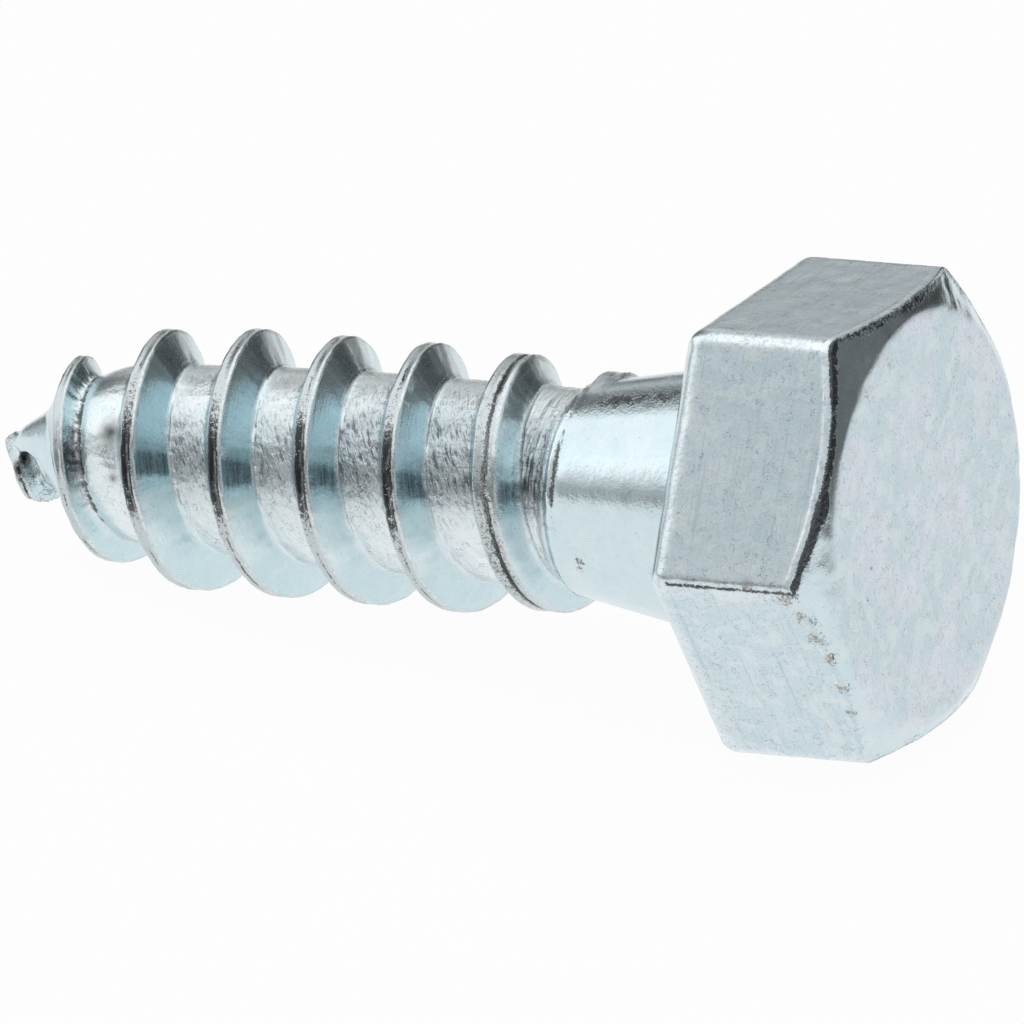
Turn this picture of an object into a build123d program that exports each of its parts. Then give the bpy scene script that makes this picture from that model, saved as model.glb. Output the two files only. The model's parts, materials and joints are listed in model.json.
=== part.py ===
"""Hexagon head lag screw, cold-formed from one piece of steel wire.

The screw is built upright: its axis is Z, its bearing face lies at Z = 0, the head is above it and the
point is below. One flat of the head faces +X. The finished solid is then laid on that flat, leaned forward
until the thread touches the floor as well, which is how the loose screw comes to rest.
"""
from build123d import *
from math import asin, atan2, cos, degrees, hypot, pi, radians, sin, sqrt, tan
import os

# Head
ACROSS_FLATS = 12.7
HEAD_HEIGHT = 5.16
TOP_CIRCLE = 11.9
CHAMFER_ANGLE = 30
BEARING_EDGE_RADIUS = 0.25
CORNER_RADIUS = 0.35

# Shank, from the bearing face down: it narrows as a cone, then steps down to the thread's root
LENGTH = 24.75
SHANK_DIAMETER = 6.4
NECK_DIAMETER = 8.2
NECK_LENGTH = 4.65
NECK_FILLET = 0.5
SHOULDER_DEPTH = 5.2
SHOULDER_LENGTH = 0.45

# Thread
PITCH = 25.4 / 9
CREST_DIAMETER = 7.64
ROOT_DIAMETER = 5.72
FLANK_ANGLE = 30
CREST_WIDTH = 0.38
# Where the ridge crosses the flat that faces the floor, measured from the bearing face
UNDERSIDE_CROSSING = 3.72
# Toward the head the crest sinks slowly and widens on its head side, then dies away in the shank
RUN_OUT_DEPTH = 9.4
RUN_OUT_DIAMETER = 7.0
RUN_OUT_CREST_WIDTH = 0.69
FADE_DEPTH = 5.6
RIDGE_END = 4.5

# Point: a cone, an arc turned as a few ever straighter cones, and a slight taper up to the root's full size
POINT_HALF_ANGLE = 33
POINT_BLUNT_RADIUS = 0.14
POINT_BLEND_RADIUS = 4.0
POINT_BLEND_CONES = 2
ROOT_TAPER_LENGTH = 11.0
ROOT_TAPER_ANGLE = 2.4
RIDGE_START = 0.6
TAPER_START = 1.1
TAPER_START_DIAMETER = 3.2
TAPER_LENGTH = 6.2
TAPER_BULGE = 0.28
TAPER_CREST_WIDTH = 0.16

# How far the ridge's foot is sunk into the core, and how finely the helix is drawn
FOOT_DEPTH = 0.18
STEPS_PER_TURN = 18
STEPS_PER_PIECE = 9

CREST_RADIUS = CREST_DIAMETER / 2
ROOT_RADIUS = ROOT_DIAMETER / 2
SHANK_RADIUS = SHANK_DIAMETER / 2
NECK_RADIUS = NECK_DIAMETER / 2

# The arc of the point touches the cone below it and the root's taper above it
CONE_TURN = radians(POINT_HALF_ANGLE)
TAPER_TURN = radians(ROOT_TAPER_ANGLE)
TAPER_AXIS_RADIUS = ROOT_RADIUS - ROOT_TAPER_LENGTH * tan(TAPER_TURN)
MEETING = TAPER_AXIS_RADIUS / (tan(CONE_TURN) - tan(TAPER_TURN))
TANGENT_LENGTH = POINT_BLEND_RADIUS * tan((CONE_TURN - TAPER_TURN) / 2)
CONE_LENGTH = MEETING - TANGENT_LENGTH * cos(CONE_TURN)
ARC_END = MEETING + TANGENT_LENGTH * cos(TAPER_TURN)
ARC_CENTRE = CONE_LENGTH + POINT_BLEND_RADIUS * sin(CONE_TURN)
ARC_CENTRE_RADIUS = CONE_LENGTH * tan(CONE_TURN) - POINT_BLEND_RADIUS * cos(CONE_TURN)


def blend(start, end, share):
    """Straight change from start to end, held at both ends."""
    share = min(1, max(0, share))
    return start + (end - start) * share


def root_radius(depth):
    """Radius of the core under the thread at a distance from the bearing face."""
    from_tip = LENGTH - depth
    if from_tip <= CONE_LENGTH:
        return max(0, from_tip * tan(CONE_TURN))
    if from_tip <= ARC_END:
        return ARC_CENTRE_RADIUS + sqrt(POINT_BLEND_RADIUS**2 - (from_tip - ARC_CENTRE) ** 2)
    return min(ROOT_RADIUS, TAPER_AXIS_RADIUS + from_tip * tan(TAPER_TURN))


def crest_radius(depth):
    """Radius of the ridge's crest: it swells from the point, stays full and runs out into the shank."""
    from_tip = LENGTH - depth
    if from_tip < TAPER_START:
        buried = root_radius(depth) - FOOT_DEPTH / 2
        return blend(buried, TAPER_START_DIAMETER / 2, (from_tip - RIDGE_START) / (TAPER_START - RIDGE_START))
    share = min(1, (from_tip - TAPER_START) / (TAPER_LENGTH - TAPER_START))
    taper = blend(TAPER_START_DIAMETER / 2, CREST_RADIUS, share) + TAPER_BULGE * 4 * share * (1 - share)
    run_out = blend(RUN_OUT_DIAMETER / 2, CREST_RADIUS, (depth - FADE_DEPTH) / (RUN_OUT_DEPTH - FADE_DEPTH))
    if depth < FADE_DEPTH:
        buried = SHANK_RADIUS - FOOT_DEPTH / 2
        run_out = blend(buried, RUN_OUT_DIAMETER / 2, (depth - RIDGE_END) / (FADE_DEPTH - RIDGE_END))
    return min(taper, run_out)


def crest_half_widths(depth):
    """The crest's extent toward the point and toward the head: narrow at the point, wide at the run-out."""
    from_tip = LENGTH - depth
    half = blend(TAPER_CREST_WIDTH, CREST_WIDTH, from_tip / TAPER_LENGTH) / 2
    extra = blend(RUN_OUT_CREST_WIDTH - CREST_WIDTH, 0, (depth - RUN_OUT_DEPTH + PITCH / 2) / (PITCH / 2))
    return half, half + extra


def foot_radius(depth):
    """The ridge's foot lies inside the core, which by the run-out is the thinner of root and shank."""
    core_radius = min(root_radius(depth), SHANK_RADIUS)
    return max(core_radius - FOOT_DEPTH, core_radius / 2)


def ridge_section(depth):
    """The ridge's four corners at one place, as pairs of depth and radius, from foot to crest to foot."""
    point_side, head_side = crest_half_widths(depth)
    spread = (crest_radius(depth) - foot_radius(depth)) * tan(radians(FLANK_ANGLE))
    corners = [
        (depth + point_side + spread, foot_radius),
        (depth + point_side, crest_radius),
        (depth - head_side, crest_radius),
        (depth - head_side - spread, foot_radius),
    ]
    return [(at, radius(at)) for at, radius in corners]


def ridge_path():
    """Turn angle and depth of the ridge's centre line, from the point to the run-out, right-handed."""
    first = LENGTH - RIDGE_START
    last = RIDGE_END
    count = round((first - last) / PITCH * STEPS_PER_TURN)
    depths = [first + (last - first) * i / count for i in range(count + 1)]
    return [((UNDERSIDE_CROSSING - depth) / PITCH * 2 * pi, depth) for depth in depths]


def make_core():
    """Neck, shank, shoulder, root and point, turned about the axis, with a plug that stands in the head."""
    plug_radius = NECK_RADIUS + 2 * NECK_FILLET
    plug_height = HEAD_HEIGHT / 2
    root_start = SHOULDER_DEPTH + SHOULDER_LENGTH
    blunt_start = POINT_BLUNT_RADIUS * cos(CONE_TURN)
    blunt_tip = LENGTH - POINT_BLUNT_RADIUS / sin(CONE_TURN) + POINT_BLUNT_RADIUS
    corners = [
        (0, plug_height),
        (plug_radius, plug_height),
        (plug_radius, 0),
        (NECK_RADIUS, 0),
        (SHANK_RADIUS, -NECK_LENGTH),
        (SHANK_RADIUS, -SHOULDER_DEPTH),
        (root_radius(root_start), -root_start),
        (ROOT_RADIUS, ROOT_TAPER_LENGTH - LENGTH),
    ]
    for i in range(POINT_BLEND_CONES + 1):
        from_tip = ARC_END + (CONE_LENGTH - ARC_END) * i / POINT_BLEND_CONES
        corners.append((root_radius(LENGTH - from_tip), from_tip - LENGTH))
    corners.append((blunt_start, blunt_start / tan(CONE_TURN) - LENGTH))
    with BuildPart() as core:
        with BuildSketch(Plane.XZ) as profile:
            with BuildLine():
                Polyline(*corners)
                RadiusArc(corners[-1], (0, -blunt_tip), POINT_BLUNT_RADIUS)
                Line((0, -blunt_tip), corners[0])
            make_face()
            neck_corner = Plane.XZ.from_local_coords((NECK_RADIUS, 0))
            fillet(profile.vertices().sort_by_distance(neck_corner)[0], radius=NECK_FILLET)
        revolve(axis=Axis.Z)
    return core.part


def make_head():
    """Hexagon with rounded corners and bearing edge, its top chamfered by a cone."""
    apex = HEAD_HEIGHT + TOP_CIRCLE / 2 * tan(radians(CHAMFER_ANGLE))
    cone_reach = apex / tan(radians(CHAMFER_ANGLE))
    with BuildPart() as head:
        with BuildSketch():
            RegularPolygon(radius=ACROSS_FLATS / 2, side_count=6, major_radius=False, rotation=30)
        extrude(amount=HEAD_HEIGHT)
        fillet(head.edges().filter_by(Axis.Z), radius=CORNER_RADIUS)
        fillet(head.faces().sort_by(Axis.Z)[0].edges(), radius=BEARING_EDGE_RADIUS)
        with BuildSketch(Plane.XZ):
            with BuildLine():
                Polyline((0, 0), (cone_reach, 0), (0, apex), close=True)
            make_face()
        revolve(axis=Axis.Z, mode=Mode.INTERSECT)
    return head.part


def make_ridge():
    """The thread's ridge: strips between four helical edges, in short pieces, closed by a cap at each end."""
    corners = [[], [], [], []]
    for angle, depth in ridge_path():
        for points, (at, radius) in zip(corners, ridge_section(depth)):
            points.append(Vector(radius * cos(angle), radius * sin(angle), -at))
    last = len(corners[0]) - 1
    pieces = round(last / STEPS_PER_PIECE)
    cuts = [round(last * i / pieces) for i in range(pieces + 1)]
    faces = []
    for start, end in zip(cuts, cuts[1:]):
        edges = [helical_piece(points, start, end) for points in corners]
        faces += [Face.make_surface_from_curves(edges[i - 1], edges[i]) for i in range(4)]
    faces += [Face(Polyline(*[points[end] for points in corners], close=True)) for end in (0, -1)]
    return Solid(Shell(faces))


def helical_piece(points, start, end):
    """Smooth curve through some of the points, with the whole curve's direction at both ends."""
    tangents = [points[min(i + 1, len(points) - 1)] - points[max(i - 1, 0)] for i in (start, end)]
    return Spline(*points[start:end + 1], tangents=tangents, tangent_scalars=[1, 1])


def rest_lean():
    """Angle between axis and floor: the floor touches the rounded bearing edge and one crest."""
    edge_height = ACROSS_FLATS / 2 - BEARING_EDGE_RADIUS
    leans = []
    for turn in range(1, int((LENGTH - UNDERSIDE_CROSSING) / PITCH)):
        for at, radius in ridge_section(UNDERSIDE_CROSSING + turn * PITCH)[1:3]:
            run = at + BEARING_EDGE_RADIUS
            rise = edge_height - radius
            leans.append(atan2(rise, run) + asin(BEARING_EDGE_RADIUS / hypot(run, rise)))
    return degrees(min(leans))


def make_screw():
    upright = make_core() + make_ridge() + make_head()
    laid = Rotation(0, 90 - rest_lean(), 0) * upright
    box = laid.bounding_box()
    return Pos(-box.center().X, -box.center().Y, -box.min.Z) * laid


screw = make_screw()
os.makedirs("parts", exist_ok=True)
export_step(screw, "parts/lag_screw.step")
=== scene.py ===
"""Looks of the lag screw: one closed mesh for the whole screw, its worn zinc plate, and a plain studio.

The mesh follows the part's own sizes and adds what rolling and forging leave on the steel: lips and a seam
on the thread's crest, a wrinkled root, a burr and a scoop at the point, rough edges and small dents on the
head. Its grid runs along the thread's helix, so that the crest and the foot of the ridge lie on whole rows of
faces. Lengths are in millimetres in the screw's upright frame: axis Z, bearing face at Z = 0, head above. The
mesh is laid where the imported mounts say, and the material turns back from there to the upright frame.
"""

import json
from math import atan2, cos, pi, radians, sin, sqrt, tan, tau

import bpy
import numpy as np
from mathutils import Matrix, Vector, noise


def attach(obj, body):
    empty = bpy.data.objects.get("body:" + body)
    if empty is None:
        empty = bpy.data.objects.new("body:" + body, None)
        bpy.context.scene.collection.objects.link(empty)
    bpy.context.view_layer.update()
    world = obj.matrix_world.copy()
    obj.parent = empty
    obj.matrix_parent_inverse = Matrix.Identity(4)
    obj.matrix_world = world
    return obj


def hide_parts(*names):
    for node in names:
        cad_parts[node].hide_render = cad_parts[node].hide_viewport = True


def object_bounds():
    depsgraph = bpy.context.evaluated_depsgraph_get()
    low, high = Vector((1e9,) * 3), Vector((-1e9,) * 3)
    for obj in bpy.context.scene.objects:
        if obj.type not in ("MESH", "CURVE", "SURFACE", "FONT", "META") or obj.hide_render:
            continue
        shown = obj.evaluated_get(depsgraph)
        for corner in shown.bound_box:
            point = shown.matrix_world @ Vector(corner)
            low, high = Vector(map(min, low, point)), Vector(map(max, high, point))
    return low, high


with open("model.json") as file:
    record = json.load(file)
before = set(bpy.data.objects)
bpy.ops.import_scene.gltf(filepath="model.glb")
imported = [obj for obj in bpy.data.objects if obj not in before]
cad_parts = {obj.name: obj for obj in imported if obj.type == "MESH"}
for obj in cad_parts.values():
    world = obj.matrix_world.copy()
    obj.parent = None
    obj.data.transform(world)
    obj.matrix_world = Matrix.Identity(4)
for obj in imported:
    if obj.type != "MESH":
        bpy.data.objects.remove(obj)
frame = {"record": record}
cad_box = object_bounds()

MM = 0.001

# Head
ACROSS_FLATS = 12.7
HEAD_HEIGHT = 5.16
TOP_CIRCLE = 11.9
CHAMFER_ANGLE = 30
CORNER_RADIUS = 0.6
# The forged bearing edge is round and stands a little below the bearing face
BEARING_EDGE_RADIUS = 0.6
BEARING_EDGE_DROP = 0.28

# Shank
LENGTH = 24.75
SHANK_DIAMETER = 6.4
NECK_DIAMETER = 8.2
NECK_LENGTH = 4.65
NECK_FILLET = 0.5
SHOULDER_DEPTH = 5.48
SHOULDER_RADIUS = 3.1
SHOULDER_LENGTH = 0.2

# Thread
PITCH = 25.4 / 9
CREST_DIAMETER = 7.64
ROOT_DIAMETER = 5.72
FLANK_ANGLE = 30
CREST_WIDTH = 0.38
UNDERSIDE_CROSSING = 3.72
RUN_OUT_DEPTH = 9.4
RUN_OUT_DIAMETER = 7.0
RUN_OUT_CREST_WIDTH = 0.69
FADE_DEPTH = 5.6
RIDGE_END = 5.02

# Point
POINT_HALF_ANGLE = 33
POINT_BLUNT_RADIUS = 0.14
POINT_BLEND_RADIUS = 4.0
ROOT_TAPER_LENGTH = 11.0
ROOT_TAPER_ANGLE = 2.4
RIDGE_START = 0.6
TAPER_START = 1.1
TAPER_START_DIAMETER = 3.2
TAPER_LENGTH = 6.2
TAPER_BULGE = 0.28
TAPER_CREST_WIDTH = 0.16
FOOT_DEPTH = 0.18

CREST_RADIUS = CREST_DIAMETER / 2
ROOT_RADIUS = ROOT_DIAMETER / 2
SHANK_RADIUS = SHANK_DIAMETER / 2
NECK_RADIUS = NECK_DIAMETER / 2
APOTHEM = ACROSS_FLATS / 2

CONE_TURN = radians(POINT_HALF_ANGLE)
TAPER_TURN = radians(ROOT_TAPER_ANGLE)
TAPER_AXIS_RADIUS = ROOT_RADIUS - ROOT_TAPER_LENGTH * tan(TAPER_TURN)
MEETING = TAPER_AXIS_RADIUS / (tan(CONE_TURN) - tan(TAPER_TURN))
TANGENT_LENGTH = POINT_BLEND_RADIUS * tan((CONE_TURN - TAPER_TURN) / 2)
CONE_LENGTH = MEETING - TANGENT_LENGTH * cos(CONE_TURN)
ARC_END = MEETING + TANGENT_LENGTH * cos(TAPER_TURN)
ARC_CENTRE = CONE_LENGTH + POINT_BLEND_RADIUS * sin(CONE_TURN)
ARC_CENTRE_RADIUS = CONE_LENGTH * tan(CONE_TURN) - POINT_BLEND_RADIUS * cos(CONE_TURN)
BLUNT_CENTRE = POINT_BLUNT_RADIUS / sin(CONE_TURN)
TIP = BLUNT_CENTRE - POINT_BLUNT_RADIUS

# Marks round the axis: bearing of the middle and reach to both sides, in degrees. The photograph is taken
# from a bearing of about 252
# Beaten crest: sunk deeper on this side, with painted shade and a painted highlight on its land
BEATEN_AND_PAINTED_LIGHT = (252, 30)
CREASE = (235, 45)
CRUMBS = (240, 30)
SHARP_FOOT = (230, 60)
UPPER_CREVICE_SHADE = (232, 26)
STAINED_TURN = (285, 32)
PAINTED_SHOULDER_HIGHLIGHT = (215, 60)
PAINTED_FLANK_HIGHLIGHT = (158, 20)
FLANK_SHADE_BAND = (256, 6.5)
FIRST_FLANK_SHADE_BAND = (256, 24)
SPECKLED = (257, 17)
PITS = (201, 7)
TORN_LIP = (344, 20)
EDGE_LINE = (270.2, 0.55)
# The root is most scuffed, and carries the most painted shade, at this bearing near the point, and some
# degrees before it near the head
SCUFF_AND_SHADE = 248
SCUFF_AND_SHADE_TURN = 12
SCUFF_AND_SHADE_REACH = 30
# Bearings between which the chamfer's border is broken
BROKEN_START = 150
BROKEN_END = 275

# Marks along the axis, at these distances from the bearing face
DIE_RINGS_END = 7.6
BURR_START = 20.4
BURR_END = 22.0
FIRST_TURN_END = 20.7
TORN_LIP_DEPTH = 23.15
WAIST_DEPTH = 24.12
NUB_DEPTH = 24.42
# The scoop at the point: bearing of its middle, reach round the axis in degrees, distance from the bearing
# face, reach along the axis and depth of the cut
SCOOP_BEARING = 304
SCOOP_REACH = 27
SCOOP_DEPTH = 23.48
SCOOP_LENGTH = 0.38
SCOOP_CUT = 0.38
# The raised rim round the scoop
RIM_REACH = 24
RIM_DEPTH = 23.45
RIM_LENGTH = 0.36
# Humps of the crest at both ends of the thread: height, place of the middle, and reach
UNEVEN_CREST = [
    (0.2, 22.3, 0.33),
    (0.1, 20.75, 0.3),
    (-0.06, 21.4, 0.3),
    (0.2, 5.58, 0.16),
    (0.12, 5.32, 0.16),
]

# Grid of the mesh: columns round the axis, rows along the helix, then closed rings for the point and the head
COLUMNS = 228
TURNS = 7
TIP_RINGS = 12
NECK_RINGS = 26
FILLET_RINGS = 6
BEARING_RINGS = 8
EDGE_RINGS = 6
FLAT_RINGS = 44
CHAMFER_RINGS = 15
TOP_RINGS = 39
# How strongly the rings' columns crowd to the corners of the hexagon
CROWDING = 0.75
FIRST_ANGLE = (UNDERSIDE_CROSSING - (LENGTH - RIDGE_START)) / PITCH * tau
# Masks that each vertex carries: nine of the thread and shank, then three of the head
SCREW_MASKS = 9
MASKS = 12
# How far apart the patterns of two seeds lie in the noise
SEED_STEP = np.array([17.3, 5.1, 9.7])


def blend(start, end, share):
    return start + (end - start) * np.clip(share, 0, 1)


def ease(share):
    """Smooth step from 0 to 1."""
    share = np.clip(share, 0, 1)
    return share * share * (3 - 2 * share)


def soft_max(a, b, reach):
    """The larger value, rounded over where the two are nearly equal."""
    share = np.clip(0.5 + 0.5 * (a - b) / reach, 0, 1)
    return b + (a - b) * share + reach * share * (1 - share)


def soft_min(a, b, reach):
    return -soft_max(-a, -b, reach)


def bump(value, centre, reach):
    """1 at the centre, falling smoothly to almost nothing two reaches away."""
    return np.exp(-(((value - centre) / reach) ** 2))


def clouds(points, size, octaves=3, seed=0):
    """Fractal noise from about -1 to 1 at points in millimetres, with features of the given sizes."""
    scaled = points / np.array(size) + SEED_STEP * (seed + 1)
    return np.array([noise.fractal(Vector(p), 1.0, 2.0, octaves) for p in scaled])


def core_radius(depth):
    """Radius without the ridge, from point to neck, at a distance from the bearing face."""
    from_tip = LENGTH - depth
    rounding = np.sqrt(np.maximum(POINT_BLEND_RADIUS**2 - (from_tip - ARC_CENTRE) ** 2, 0))
    root = np.minimum(ROOT_RADIUS, TAPER_AXIS_RADIUS + from_tip * tan(TAPER_TURN))
    root = np.where(from_tip < ARC_END, ARC_CENTRE_RADIUS + rounding, root)
    root = np.where(from_tip < CONE_LENGTH, from_tip * tan(CONE_TURN), root)
    blunt = np.sqrt(np.maximum(POINT_BLUNT_RADIUS**2 - (from_tip - BLUNT_CENTRE) ** 2, 0))
    root = np.where(from_tip < BLUNT_CENTRE * cos(CONE_TURN) ** 2, blunt, root)
    shank = blend(NECK_RADIUS, SHOULDER_RADIUS, depth / SHOULDER_DEPTH)
    return blend(shank, root, (depth - SHOULDER_DEPTH) / SHOULDER_LENGTH)


def crest_radius(depth):
    from_tip = LENGTH - depth
    buried = core_radius(depth) - FOOT_DEPTH / 2
    start = blend(buried, TAPER_START_DIAMETER / 2, (from_tip - RIDGE_START) / (TAPER_START - RIDGE_START))
    share = np.clip((from_tip - TAPER_START) / (TAPER_LENGTH - TAPER_START), 0, 1)
    taper = blend(TAPER_START_DIAMETER / 2, CREST_RADIUS, share) + TAPER_BULGE * 4 * share * (1 - share)
    taper = np.where(from_tip < TAPER_START, start, taper)
    run_out = blend(RUN_OUT_DIAMETER / 2, CREST_RADIUS, (depth - FADE_DEPTH) / (RUN_OUT_DEPTH - FADE_DEPTH))
    fade = blend(buried, RUN_OUT_DIAMETER / 2, (depth - RIDGE_END) / (FADE_DEPTH - RIDGE_END))
    return np.minimum(taper, np.where(depth < FADE_DEPTH, fade, run_out))


def crest_half_widths(depth):
    """The crest's extent toward the point and toward the head."""
    half = blend(TAPER_CREST_WIDTH, CREST_WIDTH, (LENGTH - depth) / TAPER_LENGTH) / 2
    extra = blend(RUN_OUT_CREST_WIDTH - CREST_WIDTH, 0, (depth - RUN_OUT_DEPTH + PITCH / 2) / (PITCH / 2))
    return half, half + extra


def upright(angle, radius, depth):
    return np.stack([radius * np.cos(angle), radius * np.sin(angle), -depth], axis=-1)


def near_angle(angle, middle, reach):
    """1 at an angle in degrees, falling smoothly away from it on both sides."""
    return bump((np.degrees(angle) - middle + 180) % 360 - 180, 0, reach)


def thread_place(angle, depth, wall):
    """Depth of the nearest crest line, where the ridge exists, and the distance across it toward the head."""
    crossing = UNDERSIDE_CROSSING - PITCH * angle / tau
    line = crossing + PITCH * np.round((depth - crossing) / PITCH)
    in_thread = (line < LENGTH - RIDGE_START) & (line > RIDGE_END)
    line = np.clip(line, RIDGE_END, LENGTH - RIDGE_START)
    across = line - depth + 0.03 * clouds(wall, 0.9, 3, 1) + 0.012 * clouds(wall, 0.3, 2, 2)
    return line, in_thread, across


def crest_marks_and_painted_light(angle, line, beside, along, groove, wide, beaten_and_painted_light):
    """Painted shade, dark marks and painted highlights of the crest: its groove, beaten side, wide last turn
    and lips.
    """
    inner = ease((np.where(beside < 0, 1.2, 0.85) - np.abs(beside)) / 0.3)
    inner = inner * (0.25 + 0.75 * ease((FIRST_TURN_END - line) / 0.5))
    painted_shade_and_dark_marks = 0.72 * groove**2 * (0.8 + along) * (1 - beaten_and_painted_light)
    painted_shade_and_dark_marks = np.maximum(painted_shade_and_dark_marks, beaten_and_painted_light * inner * (1 - wide) * (1 + 0.4 * along))
    stained = 0.24 + 0.2 * near_angle(angle, *STAINED_TURN) + groove * (0.65 + 0.5 * along)
    painted_shade_and_dark_marks = np.maximum(painted_shade_and_dark_marks, wide * stained)
    painted_highlight = bump(np.abs(beside), 0.98, 0.16) * (0.8 + 0.6 * along) * (1 - 0.8 * beaten_and_painted_light * (beside < 0))
    painted_highlight = painted_highlight + bump(beside, 0.1 + 0.3 * along, 0.1) * beaten_and_painted_light * (0.5 + 0.6 * along)
    return painted_shade_and_dark_marks, painted_highlight


def flank_painted_light(angle, depth, beside, along, side):
    """The flank's painted shade and highlight, above 0 where it is painted dark and below 0 where it is
    painted light, and its band of painted shade.
    """
    bearing = np.degrees(angle) % 360
    painted_shade_and_dark_marks = (beside < 0) * ease((19.6 - depth) / 0.8)
    painted_shade_and_dark_marks = painted_shade_and_dark_marks * (0.15 + 0.85 * ease((270 - bearing) / 22) * ease((bearing - 90) / 40))
    painted_light_share = ease((bearing - 261) / 12) * ease((310 - bearing) / 20) + near_angle(angle, *PAINTED_FLANK_HIGHLIGHT)
    flank_shade_band = np.clip(0.25 * side + near_angle(angle, *FLANK_SHADE_BAND) * (1.15 + 0.8 * along), 0, 1)
    flank_shade_band = np.maximum(flank_shade_band, 1.4 * near_angle(angle, *FIRST_FLANK_SHADE_BAND) * ease((depth - 20.0) / 0.5))
    return painted_shade_and_dark_marks - painted_light_share * (beside > 0), flank_shade_band * (beside > 0)


def point_marks(angle, depth, wall, along):
    """What the point's radius gains, its ragged lip, and the painted shade in the scoop before the ridge's
    start.
    """
    turned = (np.degrees(angle) - SCOOP_BEARING + 180) % 360 - 180
    scoop = (turned / SCOOP_REACH) ** 2 + ((depth - SCOOP_DEPTH) / SCOOP_LENGTH) ** 2
    rim = bump(turned**2 / RIM_REACH**2 + ((depth - RIM_DEPTH) / RIM_LENGTH) ** 2, 2.2, 0.9) * (depth < 24.1)
    ragged = near_angle(angle, *TORN_LIP) * bump(depth, TORN_LIP_DEPTH, 0.25)
    torn = ragged * (0.2 + 0.4 * clouds(wall, 0.2, 3, 9))
    nub = bump(depth, NUB_DEPTH, 0.12) * clouds(wall, 0.25, 2, 16)
    near_tip = ease((LENGTH - TIP - depth) / 0.12)
    gain = near_tip * (torn + 0.06 * rim + 0.08 * nub - SCOOP_CUT * np.exp(-scoop))
    gain = gain - 0.05 * bump(depth, WAIST_DEPTH, 0.16)
    # Painted shade in the scoop
    painted_scoop_shade = bump(scoop, 0.85, 0.6) * (0.35 + 0.65 * ease((12 - turned) / 20))
    painted_scoop_shade = (painted_scoop_shade + 0.4 * bump(scoop, 2.6, 0.5) * (turned > 0)) * near_tip * (depth < 24.25)
    return gain, ragged, np.clip((1.15 + 0.5 * along) * painted_scoop_shade, 0, 1)


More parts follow.
